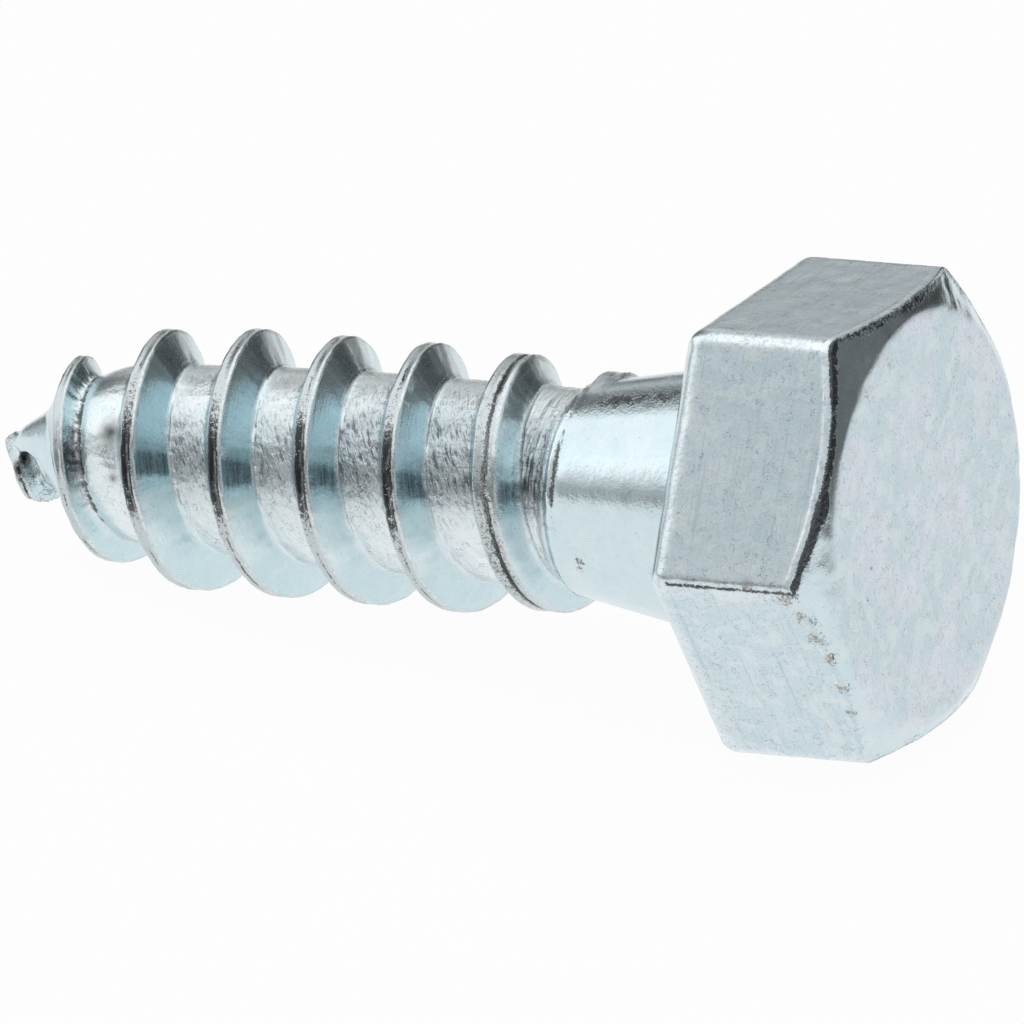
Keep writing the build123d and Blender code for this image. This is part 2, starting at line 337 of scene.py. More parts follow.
def screw_surface(angle, depth):
    """Radius of the point, thread, shank and neck, with the marks that rolling left, and their masks.

    The masks' columns are crest land, flank, root land, rough steel with painted shade in crevices, dark
    crest marks with painted shade, die rings, scuffs with painted shade, the flank's painted shade and
    highlight, and painted highlights on lips. Each is from 0 to 1, and the flank's shade and highlight from
    -1 to 1.
    """
    wall = upright(angle, ROOT_RADIUS + 0 * depth, depth)
    along = clouds(wall, 0.55, 3, 3)
    line, in_thread, across = thread_place(angle, depth, wall)
    core = core_radius(depth)
    uneven = sum(height * bump(line, middle, reach) for height, middle, reach in UNEVEN_CREST)
    crest = np.where(in_thread, crest_radius(line) + uneven, 0)
    point_side, head_side = crest_half_widths(line)
    middle = (head_side - point_side) / 2
    half = (head_side + point_side) / 2
    beside = (across - middle) / half

    # Rolled crest: two lips and a groove between them, wide and deep on the last full turn
    wide = np.clip((half - CREST_WIDTH / 2) / 0.12, 0, 1) * ease((line - 6.2) / 0.8)
    beaten_and_painted_light = near_angle(angle, *BEATEN_AND_PAINTED_LIGHT)
    groove = bump(beside, 0.1 * along, 0.3) * (1 - wide) + bump(beside, 0.15 + 0.08 * along, 0.16) * wide
    land = np.clip(1.15 - np.abs(beside), 0, 0.15) / 0.15
    lips = (0.01 + 0.014 * clouds(wall, 0.22, 2, 4)) * bump(np.abs(beside), 0.88, 0.22)
    sunk = (0.016 + 0.03 * beaten_and_painted_light + 0.05 * wide) * groove * np.clip(0.8 + 0.7 * along, 0.2, 1.4) * land
    flank = crest - (np.abs(across - middle) - half) / tan(radians(FLANK_ANGLE))
    ridge = soft_min(crest - sunk + lips, flank, 0.05)

    # Root: crumpled skin, with a crease where the flank on the head side meets it
    on_root = ease((core - ridge) / 0.08) * ease((depth - SHOULDER_DEPTH - 0.1) / 0.3)
    taper = ease((LENGTH - depth - 2.8) / 2.6)
    side = near_angle(angle, SCUFF_AND_SHADE - SCUFF_AND_SHADE_TURN * ease((16 - depth) / 6), SCUFF_AND_SHADE_REACH)
    scuffs_and_painted_shade = side * on_root * taper
    crumple = clouds(wall, (0.5, 0.5, 0.8), 4, 5)
    folds = 1 - np.abs(clouds(wall, (0.45, 0.45, 0.7), 3, 6)) * 2.2
    skin = on_root * taper * (0.3 + 0.9 * scuffs_and_painted_shade) * (0.02 * crumple + 0.026 * np.clip(folds, 0, 1) - 0.022)
    foot = np.abs(across) - half - (crest - core) * tan(radians(FLANK_ANGLE))
    crease = bump(foot, 0.06, 0.05) * (across > 0) * in_thread * taper * (0.5 + 0.5 * along)
    crease *= 0.25 + 0.75 * near_angle(angle, *CREASE)

    # Fine rings that the rolling die left before the shoulder
    rings = ease((DIE_RINGS_END - depth) / 0.6) * ease((depth - SHOULDER_DEPTH - 0.25) / 0.2) * on_root
    ringed = clouds(np.stack([angle * 1.2, 0 * angle, depth * 4.5], axis=-1), 1.0, 2, 7)
    core = core + skin - 0.02 * crease + 0.035 * rings * ringed

    # The shoulder's rolled lip stands a little proud of the shank, with a crumbly line behind it
    lip = bump(depth, SHOULDER_DEPTH + 0.02, 0.09)
    crumbs = bump(depth, SHOULDER_DEPTH - 0.2, 0.09) * near_angle(angle, *CRUMBS)
    core = core + 0.03 * lip * (1 + 0.5 * along) - 0.02 * crumbs

    # Beaded burr along the foot of the first turn, on its head side, with painted crevice shade at each side
    # and painted highlights on its beads
    burred = (across > 0) * ease((depth - BURR_START) / 0.25) * ease((BURR_END - depth) / 0.3) * in_thread
    burr = bump(foot, 0.0, 0.1) * burred
    beads = np.clip(clouds(wall, 0.2, 2, 8) * 1.7 + 0.6, 0, 1)
    crevice_shade = bump(foot, 0.15, 0.12) + 0.7 * bump(foot, -0.13, 0.06) * near_angle(angle, *UPPER_CREVICE_SHADE)
    crevice_shade = crevice_shade * burred
    radius = soft_max(core, ridge, 0.06 + 0.08 * (1 - near_angle(angle, *SHARP_FOOT))) + 0.1 * burr * beads

    gain, ragged, painted_scoop_shade = point_marks(angle, depth, wall, along)
    radius = np.maximum(radius + gain, np.minimum(core_radius(depth), 0.05))

    proud = np.clip((ridge - core) / 0.06, 0, 1)
    on_flank = proud * np.clip((np.abs(beside) - 1) / 0.2, 0, 1) * in_thread
    on_crest = proud * land * in_thread
    on_land = np.clip((ridge - core) / 0.1, 0, 1) * land * in_thread
    painted_shade_and_dark_marks, painted_highlight = crest_marks_and_painted_light(angle, line, beside, along, groove, wide, beaten_and_painted_light)
    painted_shade_and_dark_marks = np.maximum(np.clip(on_land * painted_shade_and_dark_marks, 0, 1), painted_scoop_shade)
    # Painted highlights on the crest's lips and seam, on the shoulder's lip and on the burr's beads
    painted_highlight = np.maximum(on_land * painted_highlight, lip * near_angle(angle, *PAINTED_SHOULDER_HIGHLIGHT))
    painted_highlight = np.clip(painted_highlight + burr * beads, 0, 1)

    # Pits high on the shank, and the first turn's flank and foot, which are speckled at the front
    pits = near_angle(angle, *PITS) * ease((5.2 - depth) / 0.4) * ease((depth - 1.2) / 0.8)
    speckled = near_angle(angle, *SPECKLED) * ease((depth - 20.2) / 0.3) * in_thread * (across > 0)
    speckled = speckled * (0.45 * on_flank + 0.6 * bump(foot, 0.02, 0.2))
    # Rough steel, with painted shade in the crevices beside the burr and in the crease at the flank's foot
    rough = crevice_shade * (1.25 - 0.7 * beads) + 0.7 * crease + crumbs * (0.75 + 0.8 * along)
    rough = rough + ragged * (0.3 + along) + pits * (0.5 + 0.5 * along) + speckled * (1 + 0.6 * along)
    rough = np.clip(rough, 0, 1)

    tone_and_painted_light, flank_shade_band = flank_painted_light(angle, depth, beside, along, side)
    # Scuffs on the root, darkened with painted shade toward the front, and the flanks' band of painted shade
    scuffs_and_painted_shade = scuffs_and_painted_shade * ease((20.5 - depth) / 2) * (0.8 + 0.6 * ease((15 - depth) / 4))
    scuffs_and_painted_shade = np.maximum(np.clip(scuffs_and_painted_shade, 0, 1), flank_shade_band * on_flank)
    columns = [on_crest, on_flank, on_root * taper, rough, painted_shade_and_dark_marks, rings, scuffs_and_painted_shade, on_flank * tone_and_painted_light, painted_highlight]
    return radius, np.stack(columns, axis=-1)


def row_places():
    """Where the rows of one pitch lie, measured from the crest line toward the head, closest on the crest."""
    steps = [(-PITCH / 2, -0.84, 6), (-0.84, -0.66, 3), (-0.66, -0.24, 4), (-0.24, 0, 5)]
    half = np.concatenate([np.linspace(a, b, count, endpoint=False) for a, b, count in steps])
    return np.concatenate([half, [0], -half[:0:-1]])


PLACES = row_places()
ROWS = len(PLACES)
RING = COLUMNS + ROWS


def thread_grid():
    """Angles and depths of the helical part's vertices, as arrays by column and row."""
    turn = np.arange(COLUMNS) / COLUMNS
    place = np.concatenate([PLACES + PITCH * t for t in range(TURNS)] + [PLACES[:1] + PITCH * TURNS])
    line = LENGTH - RIDGE_START - PITCH * turn[:, None]
    squeeze = np.clip((LENGTH - line - 0.3) / (PITCH / 2), 0, 1)
    place = np.where(place < 0, place * squeeze, place)
    return FIRST_ANGLE + tau * turn[:, None] + 0 * place, line - place


def hexagon_radius(angle, inset=0):
    """Distance from the axis to the head's outline, with its corners rounded."""
    apothem = APOTHEM - inset
    rounding = max(CORNER_RADIUS - inset, 0.05)
    corner = (apothem - rounding) / cos(pi / 6)
    off_flat = (angle + pi / 6) % (pi / 3) - pi / 6
    off_corner = pi / 6 - np.abs(off_flat)
    rounded = corner * np.cos(off_corner) + np.sqrt(
        np.maximum(rounding**2 - (corner * np.sin(off_corner)) ** 2, 0)
    )
    touching = atan2(rounding * sin(pi / 6), corner + rounding * cos(pi / 6))
    return np.where(off_corner < touching, rounded, apothem / np.cos(off_flat))


def ring_angles():
    """Angles of a head ring's vertices, even and crowded to the corners of the hexagon."""
    even = FIRST_ANGLE + tau * (np.arange(RING) + ROWS) / RING
    corner = pi / 6
    step = tau / RING
    even += (corner - even[0] + step / 2) % step - step / 2
    crowded = even - CROWDING / 6 * np.sin(6 * (even - corner))
    return even, crowded


def head_rings():
    """Rings from the neck's fillet over the bearing face, the flats and the chamfer to the top's middle.

    Each comes with its masks, whose last three columns are flat, broken edge, and top.
    """
    even, crowded = ring_angles()
    slope = (NECK_RADIUS - SHANK_RADIUS) / NECK_LENGTH
    # The fillet's centre stands off the neck's cone and the bearing face by its radius
    centre_radius = NECK_RADIUS - slope * NECK_FILLET + NECK_FILLET * sqrt(1 + slope**2)
    first_turn = atan2(slope, 1)
    rings = []

    def add(angle, radius, depth, outward=0, upward=0, on_flat=0, broken=0, on_top=0, dents=0, painted_highlight=0):
        points = upright(angle, radius + 0 * angle, depth + 0 * angle)
        if dents:
            inward = np.minimum(dents * clouds(points, 0.5, 3, 10) - dents / 3, 0)
            inward += 0.6 * dents * (clouds(points, 1.8, 1, 15) - 1)
            points = points + upright(angle, outward * inward, -upward * inward + 0 * angle)
        blank = 0 * angle
        mask = [blank] * (SCREW_MASKS - 1)
        mask += [painted_highlight + blank, on_flat + blank, broken + blank, on_top + blank]
        rings.append((points, np.stack(mask, axis=-1)))

    for j in range(1, FILLET_RINGS + 1):
        turn = first_turn + (pi / 2 - first_turn) * j / FILLET_RINGS
        angle = even + (crowded - even) * 0.2 * j / FILLET_RINGS
        add(angle, centre_radius - NECK_FILLET * cos(turn), NECK_FILLET * (1 - sin(turn)))
    start = centre_radius
    for j in range(1, BEARING_RINGS + 1):
        share = j / BEARING_RINGS
        angle = even + (crowded - even) * (0.2 + 0.8 * share)
        outer = hexagon_radius(angle, BEARING_EDGE_RADIUS)
        add(angle, start + (outer - start) * share, BEARING_EDGE_DROP * ease(share))
    edge_centre = BEARING_EDGE_RADIUS - BEARING_EDGE_DROP
    # Painted highlights along the rounded edges, patchy by noise
    bearing = np.degrees(crowded) % 360
    off_corner = np.abs(bearing % 60 - 30)
    worn = 0.5 + 0.5 * clouds(upright(crowded, APOTHEM, 0 * crowded), 0.5, 3, 18)
    for j in range(1, EDGE_RINGS + 1):
        turn = pi / 2 * j / EDGE_RINGS
        radius = hexagon_radius(crowded, BEARING_EDGE_RADIUS * (1 - sin(turn)))
        depth = BEARING_EDGE_RADIUS * cos(turn) - edge_centre
        add(crowded, radius, depth, sin(turn), -cos(turn), sin(turn) ** 8, 0, 0, 0.02 * sin(turn), worn)
    outline = hexagon_radius(crowded)
    slope = tan(radians(CHAMFER_ANGLE))
    wander = 0.05 * clouds(upright(crowded, outline, -HEAD_HEIGHT + 0 * crowded), 1.4, 3, 11)
    rim = TOP_CIRCLE / 2 + wander

    def chamfered(radius):
        """Height of the chamfer and the top, with the worn rim between them, at a distance from the axis."""
        return soft_min(HEAD_HEIGHT + 0 * radius, HEAD_HEIGHT - (radius - rim) * slope, 0.09)

    # The border of the chamfer is broken on two flats, and so is the edge between the second and the third
    ragged = clouds(upright(crowded, outline, 0 * crowded), (0.7, 0.7, 0.7), 3, 14)
    broken = ease((bearing - BROKEN_START) / 25) * ease((BROKEN_END - bearing) / 6)
    broken = broken * (0.66 + 0.34 * ease((bearing - 200) / 12))
    broken = np.clip(np.maximum(broken * (1 + 0.3 * ragged), 0.3 + 0.3 * ragged), 0, 1)
    edge_line = bump(bearing, *EDGE_LINE)
    border = chamfered(outline)
    for j in range(1, FLAT_RINGS + 1):
        below = (border - edge_centre) * (1 - j / FLAT_RINGS) ** 1.5
        near = ease(1.25 + 0.5 * ragged - below / 0.13) * broken
        nicks = clouds(upright(crowded, outline, below - border), 0.6, 3, 17)
        near = np.maximum(near, edge_line * np.clip(1.0 + 0.5 * nicks, 0, 1))
        lip = 0.022 * bump(below, 0.23, 0.06) * broken - 0.01 * edge_line
        # Painted highlights near the corners, on a line below the broken border, and along the rounded
        # bearing edge
        rubbed = bump(off_corner, 0, 2.4) * (0.85 + 0.9 * nicks)
        rubbed = np.maximum(rubbed, 1.6 * bump(below, 0.25, 0.05) * broken)
        rubbed = np.clip(np.maximum(rubbed, worn * bump(below, border - edge_centre, 0.12)), 0, 1)
        add(crowded, outline + lip, below - border, 1, 0, 1, near, 0, 0.012, rubbed * (1 - edge_line))
    width = (outline - TOP_CIRCLE / 2) / cos(radians(CHAMFER_ANGLE))
    for j in range(1, CHAMFER_RINGS + 1):
        share = j / CHAMFER_RINGS
        radius = outline + (TOP_CIRCLE / 2 - outline) * share
        near = ease((0.34 + 0.14 * ragged - width * share) / 0.16) * broken
        add(crowded, radius, -chamfered(radius), 0.5, 0.87, 0, near, share**3, 0.02)
    for j in range(1, TOP_RINGS + 1):
        share = j / (TOP_RINGS + 1)
        angle = crowded + (even - crowded) * min(1, share * 2)
        radius = TOP_CIRCLE / 2 * (1 - share) + 0 * angle
        add(angle, radius, -chamfered(radius), 0, 1, 0, 0, 1, 0.016)
    return rings


def screw_mesh():
    """Vertices of the whole screw, their masks, and its faces, closed at the tip and at the top's middle."""
    points = []
    masks = []
    faces = []
    count = 0

    def add(new, mask):
        nonlocal count
        points.append(new)
        masks.append(np.pad(mask, ((0, 0), (0, MASKS - mask.shape[1]))))
        count += len(new)
        return np.arange(count - len(new), count)

    def add_wall(angle, depth):
        radius, mask = screw_surface(angle, depth)
        return add(upright(angle, radius, depth), mask)

    def bridge(low, high):
        faces.append(np.stack([low, np.roll(low, -1), np.roll(high, -1), high], axis=-1))

    angle, depth = thread_grid()
    grid = add_wall(angle.ravel(), depth.ravel()).reshape(angle.shape)
    last = TURNS * ROWS
    corners = [grid[:-1, :-1], grid[1:, :-1], grid[1:, 1:], grid[:-1, 1:]]
    faces.append(np.stack(corners, axis=-1).reshape(-1, 4))
    # One turn on, the last column meets the first one pitch further up
    end, start = grid[-1, :last - ROWS + 1], grid[0, ROWS:]
    faces.append(np.stack([end[:-1], start[:-1], start[1:], end[1:]], axis=-1))

    low = [(i, 0) for i in range(COLUMNS)] + [(0, k) for k in range(ROWS, 0, -1)]
    top = [(i, last) for i in range(COLUMNS)]
    top += [(COLUMNS - 1, k) for k in range(last - 1, last - ROWS - 1, -1)]
    low = tuple(np.array(low).T)
    top = tuple(np.array(top).T)

    loop_angle = angle[low] + np.where(np.arange(RING) >= COLUMNS, tau, 0)
    even = FIRST_ANGLE + tau * np.arange(RING) / RING
    outer = grid[low]
    for j in range(1, TIP_RINGS):
        share = j / TIP_RINGS
        turned = loop_angle + (even - loop_angle) * ease(share)
        at = LENGTH - TIP - (LENGTH - TIP - depth[low]) * (1 - share) ** 1.6
        inner = add_wall(turned, at)
        bridge(inner, outer)
        outer = inner
    pole = add(np.array([[0, 0, TIP - LENGTH]]), np.zeros((1, 1)))
    fans = [np.stack([pole.repeat(RING), np.roll(outer, -1), outer], axis=-1)]

    even, _ = ring_angles()
    outer = grid[top]
    for j in range(1, NECK_RINGS + 1):
        share = (j / NECK_RINGS) ** 1.6
        turned = angle[top] + (even - angle[top]) * ease(share)
        inner = add_wall(turned, depth[top] + (NECK_FILLET - depth[top]) * share)
        bridge(outer, inner)
        outer = inner
    for ring, mask in head_rings():
        inner = add(ring, mask)
        bridge(outer, inner)
        outer = inner
    pole = add(np.array([[0, 0, HEAD_HEIGHT]]), np.eye(MASKS)[-1:])
    fans.append(np.stack([outer, np.roll(outer, -1), pole.repeat(RING)], axis=-1))
    return np.concatenate(points), np.concatenate(masks), np.concatenate(faces), np.concatenate(fans)


def pose():
    """Matrix from the upright frame to the row frame, in metres, with the head's top at its mount."""
    mount = next(m for m in frame["record"]["mounts"] if m["name"] == "hex_drive")
    axis = Vector(mount["axis"]).normalized()
    origin = Vector(mount["pos_m"]) - HEAD_HEIGHT * MM * axis
    down = Vector((axis.z, 0, -axis.x))
    turn = Matrix((down, (0, 1, 0), axis)).transposed().to_4x4()
    return Matrix.Translation(origin) @ turn


# Places where the plate is rubbed off or stained: upright coordinates, size and strength
BROWN_SPOTS = [
    (-1.32, -2.20, -19.93, 0.30, 1.0),
    (-0.09, -2.60, -19.74, 0.13, 0.8),
    (1.10, -3.08, -4.54, 0.22, 0.78),
    (1.40, -2.98, -4.60, 0.18, 0.62),
    (-0.15, -7.24, 2.95, 0.34, 0.60),
    (0.21, -7.21, 4.17, 0.42, 0.62),
    (0.85, -6.85, 4.40, 0.40, 0.54),
    (1.64, -6.38, 4.59, 0.48, 0.58),
    (2.36, -5.97, 4.79, 0.42, 0.60),
    (3.47, -5.33, 4.79, 0.42, 0.58),
    (4.30, -4.85, 4.70, 0.35, 0.55),
    (-4.68, -3.20, 5.16, 0.35, 0.50),
    (-5.14, -1.58, 5.16, 0.35, 0.48),
    (-6.35, 2.28, 3.03, 0.18, 0.62),
    (-6.35, 0.33, 0.66, 0.30, 0.52),
    (-6.35, 3.18, 1.63, 0.22, 0.56),
    (-4.78, -4.57, 0.58, 0.25, 0.54),
    (0.34, -3.65, 5.16, 0.12, 0.75),
    (1.17, -4.06, 5.16, 0.12, 0.75),
]


def make_screw():
    """The screw in its place with its masks, held inside the solids' box."""
    points, masks, quads, triangles = screw_mesh()
    place = pose()
    row = points * MM @ np.array(place.to_3x3()).T + np.array(place.translation)
    low, high = (np.array(corner) for corner in cad_box)
    mesh = bpy.data.meshes.new("lag_screw_visual")
    mesh.from_pydata(np.clip(row, low, high).tolist(), [], quads.tolist() + triangles.tolist())
    mesh.shade_smooth()
    brown = np.zeros(len(points))
    for *spot, size, strength in BROWN_SPOTS:
        brown = np.maximum(brown, strength * np.exp(-(((points - spot) ** 2).sum(axis=1) / size**2)))
    tone_and_painted_light = np.stack([clouds(points, 1.9, 2, 12), clouds(points, 0.5, 3, 13), brown], axis=-1)
    masks = np.concatenate([masks, tone_and_painted_light], axis=-1)
    for i, name in enumerate(("thread", "marks", "scuffs_and_painted_light", "head", "tone_and_painted_light")):
        layer = mesh.attributes.new(name, "FLOAT_VECTOR", "POINT")
        layer.data.foreach_set("vector", masks[:, 3 * i:3 * i + 3].astype(np.float32).ravel())
    screw = bpy.data.objects.new("lag_screw_visual", mesh)
    bpy.context.scene.collection.objects.link(screw)
    return screw


def node(tree, kind, inputs=None, **settings):
    """New shader node with its settings and its inputs, which are values or other nodes' outputs."""
    made = tree.nodes.new("ShaderNode" + kind)
    for name, value in settings.items():
        setattr(made, name, value)
    for name, value in (inputs or {}).items():
        if isinstance(value, bpy.types.NodeSocket):
            tree.links.new(value, made.inputs[name])
        else:
            made.inputs[name].default_value = value
    return made


# Colours of the clean plate and of its tints, among them painted shade and painted highlight on the flanks
# and painted shade on the scuffed root
PLATE = (0.64, 0.76, 0.80, 1)
PLATE_TINT = (0.68, 0.78, 0.82, 1)
FLANK_TINT = (0.60, 0.76, 0.80, 1)
PAINTED_SHADE_FLANK = (0.40, 0.54, 0.60, 1)
PAINTED_HIGHLIGHT_FLANK = (0.82, 0.93, 0.95, 1)
ROOT_TINT = (0.84, 0.90, 0.92, 1)
SCUFFED_AND_SHADED_ROOT = (0.36, 0.42, 0.45, 1)
HEAD_TINT = (0.65, 0.76, 0.81, 1)
BLUE_CLOUD = (0.56, 0.70, 0.76, 1)
PALE_CLOUD = (0.73, 0.81, 0.81, 1)
HEAD_GRAIN = (0.50, 0.60, 0.65, 1)
LILAC = (0.76, 0.78, 0.86, 1)
FLAT_STROKES = (0.42, 0.50, 0.55, 1)
CREST_TINT = (0.52, 0.56, 0.57, 1)

# Colours of marks and wear, and of painted shade in grooves and crevices and painted highlights on lips and
# edges
SCALE_AND_PAINTED_SHADE = (0.09, 0.10, 0.11, 1)
PAINTED_FLANK_SHADE_BAND = (0.09, 0.13, 0.15, 1)
ROUGH_STEEL_AND_CREVICE_SHADE = (0.08, 0.085, 0.09, 1)
SHALLOW_GROOVE = (0.20, 0.185, 0.175, 1)
DEEP_GROOVE = (0.025, 0.028, 0.03, 1)
PAINTED_LIP_AND_EDGE_HIGHLIGHT = (0.88, 0.92, 0.94, 1)
CHIPPED = (0.06, 0.065, 0.07, 1)
STAIN_OUTLINE = (0.44, 0.43, 0.36, 1)
CRACK = (0.15, 0.16, 0.17, 1)
DARK_POINT = (0.16, 0.17, 0.18, 1)
RUBBED_SHANK = (0.12, 0.10, 0.09, 1)
RUBBED_HEAD = (0.34, 0.28, 0.25, 1)
RUBBED_ROOT = (0.04, 0.036, 0.032, 1)


def zinc_material(place):
    """Bright zinc plate: bluish flanks with painted shade and highlights, a crumpled root with painted shade,
    dark grooves and specks with painted shade, painted highlights on lips and edges, satin head, brown wear.

    Every pattern is drawn in the upright frame in millimetres, on the masks that the mesh carries.
    """
    material = bpy.data.materials.new("zinc_plated_steel")
    material.use_nodes = True
    tree = material.node_tree
    tree.nodes.clear()

    def calc(operation, a, b=0.0):
        return node(tree, "Math", {0: a, 1: b}, operation=operation).outputs[0]

    def times(*factors):
        product = factors[0]
        for factor in factors[1:]:
            product = calc("MULTIPLY", product, factor)
        return product

    def plus(*terms):
        total = terms[0]
        for term in terms[1:]:
            total = calc("ADD", total, term)
        return total

    def most(a, b):
        return calc("MAXIMUM", a, b)

    def off(value):
        return calc("SUBTRACT", value, 0.5)

    def apart(value, level):
        return calc("ABSOLUTE", calc("SUBTRACT", value, level))

    def between(share, low, high):
        return node(tree, "Mix", {0: share, 2: low, 3: high}).outputs[0]

    def span(value, start, end, low=0.0, high=1.0):
        inputs = {"Value": value, "From Min": start, "From Max": end, "To Min": low, "To Max": high}
        return node(tree, "MapRange", inputs, interpolation_type="SMOOTHSTEP").outputs[0]

    def cloud(at, scale, detail, rough=0.6):
        inputs = {"Vector": at, "Scale": scale, "Detail": detail, "Roughness": rough}
        return node(tree, "TexNoise", inputs).outputs["Fac"]

    def mask(name):
        vector = node(tree, "Attribute", attribute_name=name).outputs["Vector"]
        return node(tree, "SeparateXYZ", {0: vector}).outputs

    def mixed(under, share, over):
        made = node(tree, "Mix", data_type="RGBA")
        for socket, value in ((made.inputs[0], share), (made.inputs[6], under), (made.inputs[7], over)):
            if isinstance(value, bpy.types.NodeSocket):
                tree.links.new(value, socket)
            else:
                socket.default_value = value
        return made.outputs[2]

    inputs = {
        "Vector": node(tree, "TexCoord").outputs["Object"],
        "Location": place.translation,
        "Rotation": place.to_euler(),
        "Scale": (MM, MM, MM),
    }
    at = node(tree, "Mapping", inputs, vector_type="TEXTURE").outputs[0]
    crest, flank, root = mask("thread")
    rough, painted_shade_and_dark_marks, rings = mask("marks")
    scuffs_and_painted_shade, tone_and_painted_light, painted_highlight = mask("scuffs_and_painted_light")
    flat, border, top = mask("head")
    broad, middling, brown = mask("tone_and_painted_light")
    head = plus(flat, top)

    # Strokes run steeply over the root, and round the axis on the flanks, the flats and before the shoulder
    x, y, z = node(tree, "SeparateXYZ", {0: at}).outputs
    round_way = times(calc("ARCTAN2", times(y, -1.0), times(x, -1.0)), ROOT_RADIUS)
    level = node(tree, "CombineXYZ", {0: x, 1: y}).outputs[0]
    from_axis = node(tree, "VectorMath", {0: level}, operation="LENGTH").outputs["Value"]
    circling = most(most(rings, flat), flank)
    lengthwise = times(round_way, between(circling, 2.6, 0.45))
    crosswise = times(plus(z, times(round_way, between(circling, -0.45, 0.0))), 7.0)
    crosswise = between(flank, crosswise, times(from_axis, 9.0))
    strokes = cloud(node(tree, "CombineXYZ", {0: lengthwise, 1: crosswise}).outputs[0], 1.0, 3.0, 0.65)
    fine = cloud(at, 8.0, 2.0, 0.65)
    grain = cloud(at, 24.0, 1.0)
    stain = cloud(at, 1.7, 4.0, 0.62)

    # Colours of the plate
    plate = mixed(PLATE, span(broad, 0.0, 0.7), PLATE_TINT)
    plate = mixed(plate, times(flank, span(strokes, 0.3, 0.65, 0.6, 1)), FLANK_TINT)
    # Painted shade on the point-side flanks and painted highlight on the head-side flanks, set by bearing
    plate = mixed(plate, tone_and_painted_light, PAINTED_SHADE_FLANK)
    painted_light_share = span(tone_and_painted_light, 0.0, -1.0)
    plate = mixed(plate, painted_light_share, PAINTED_HIGHLIGHT_FLANK)
    plate = mixed(plate, root, ROOT_TINT)
    # Painted shade on the scuffed root toward the front
    plate = mixed(plate, times(root, scuffs_and_painted_shade, 0.68), SCUFFED_AND_SHADED_ROOT)
    plate = mixed(plate, head, HEAD_TINT)
    clouded = plus(times(head, 0.3), 0.3)
    plate = mixed(plate, times(clouded, span(stain, 0.48, 0.36)), BLUE_CLOUD)
    plate = mixed(plate, times(clouded, span(stain, 0.52, 0.62)), PALE_CLOUD)
    plate = mixed(plate, times(head, span(fine, 0.48, 0.36), 0.3), HEAD_GRAIN)
    lilac = times(top, span(broad, -0.2, 0.4), span(fine, 0.4, 0.6, 0.3, 0.8))
    plate = mixed(plate, lilac, LILAC)
    plate = mixed(plate, times(flat, span(strokes, 0.45, 0.33), 0.35), FLAT_STROKES)
    plate = mixed(plate, times(crest, 0.7), CREST_TINT)

    # Dark specks and strokes, partly painted shade, with painted shade in grooves and crevices and painted
    # highlights
    worn = plus(strokes, times(scuffs_and_painted_shade, -0.06), times(rings, -0.03), times(middling, 0.06))
    # Dark specks, laid on thickest as painted shade on the scuffed root toward the front
    scales_and_painted_shade = times(most(most(root, rings), scuffs_and_painted_shade), span(worn, 0.46, 0.28))
    specks = times(span(fine, 0.56, 0.70), 0.8)
    scaled = plus(times(root, 0.08), times(scuffs_and_painted_shade, 0.7), times(rings, 0.15), 0.04)
    scales_and_painted_shade = times(most(scales_and_painted_shade, specks), scaled)
    plate = mixed(plate, scales_and_painted_shade, SCALE_AND_PAINTED_SHADE)
    # Band of painted shade on the flanks toward the front
    painted_flank_shade_band = times(flank, span(scuffs_and_painted_shade, 0.35, 1.0), span(strokes, 0.68, 0.35, 0.8, 1.0), 0.66)
    plate = mixed(plate, painted_flank_shade_band, PAINTED_FLANK_SHADE_BAND)
    speckle = plus(off(fine), times(off(grain), 0.9))
    # Rough steel, with painted shade in crevices and creases
    plate = mixed(plate, times(span(plus(rough, speckle), 0.35, 0.7), 0.9), ROUGH_STEEL_AND_CREVICE_SHADE)
    # Dark crest marks: a stain on the wide last turn, and painted shade in the groove and on the beaten side
    deep = mixed(SHALLOW_GROOVE, span(painted_shade_and_dark_marks, 0.35, 0.75), DEEP_GROOVE)
    plate = mixed(plate, times(span(plus(times(painted_shade_and_dark_marks, 0.9), times(speckle, 1.2)), 0.3, 0.62), 0.95), deep)
    # Painted highlights on lips and rounded edges
    plate = mixed(plate, times(painted_highlight, span(fine, 0.35, 0.55), 0.85), PAINTED_LIP_AND_EDGE_HIGHLIGHT)
    chipped = times(span(plus(times(border, 0.85), speckle), 0.38, 0.66), 0.94)
    plate = mixed(plate, chipped, CHIPPED)

    # Outlines of stains and cracks, dark points, and brown spots where the plate is rubbed off
    outline = times(span(apart(stain, 0.54), 0.012, 0.003), span(middling, -0.1, 0.3))
    plate = mixed(plate, times(outline, head, 0.62), STAIN_OUTLINE)
    crack = times(span(apart(stain, 0.46), 0.009, 0.002), span(middling, 0.25, -0.25))
    plate = mixed(plate, times(crack, plus(times(head, 0.6), times(root, 0.6))), CRACK)
    point = times(span(grain, 0.68, 0.75), span(middling, -0.2, 0.35))
    plate = mixed(plate, times(point, plus(times(head, 0.5), 0.15)), DARK_POINT)
    on_root = span(root, 0.0, 0.4)
    patchy = times(span(plus(brown, off(fine)), 0.38, 0.62), calc("SUBTRACT", 1.0, on_root))
    rubbed = most(patchy, times(on_root, brown))
    bare = mixed(RUBBED_SHANK, head, RUBBED_HEAD)
    bare = mixed(bare, on_root, RUBBED_ROOT)
    plate = mixed(plate, times(rubbed, 0.8), bare)

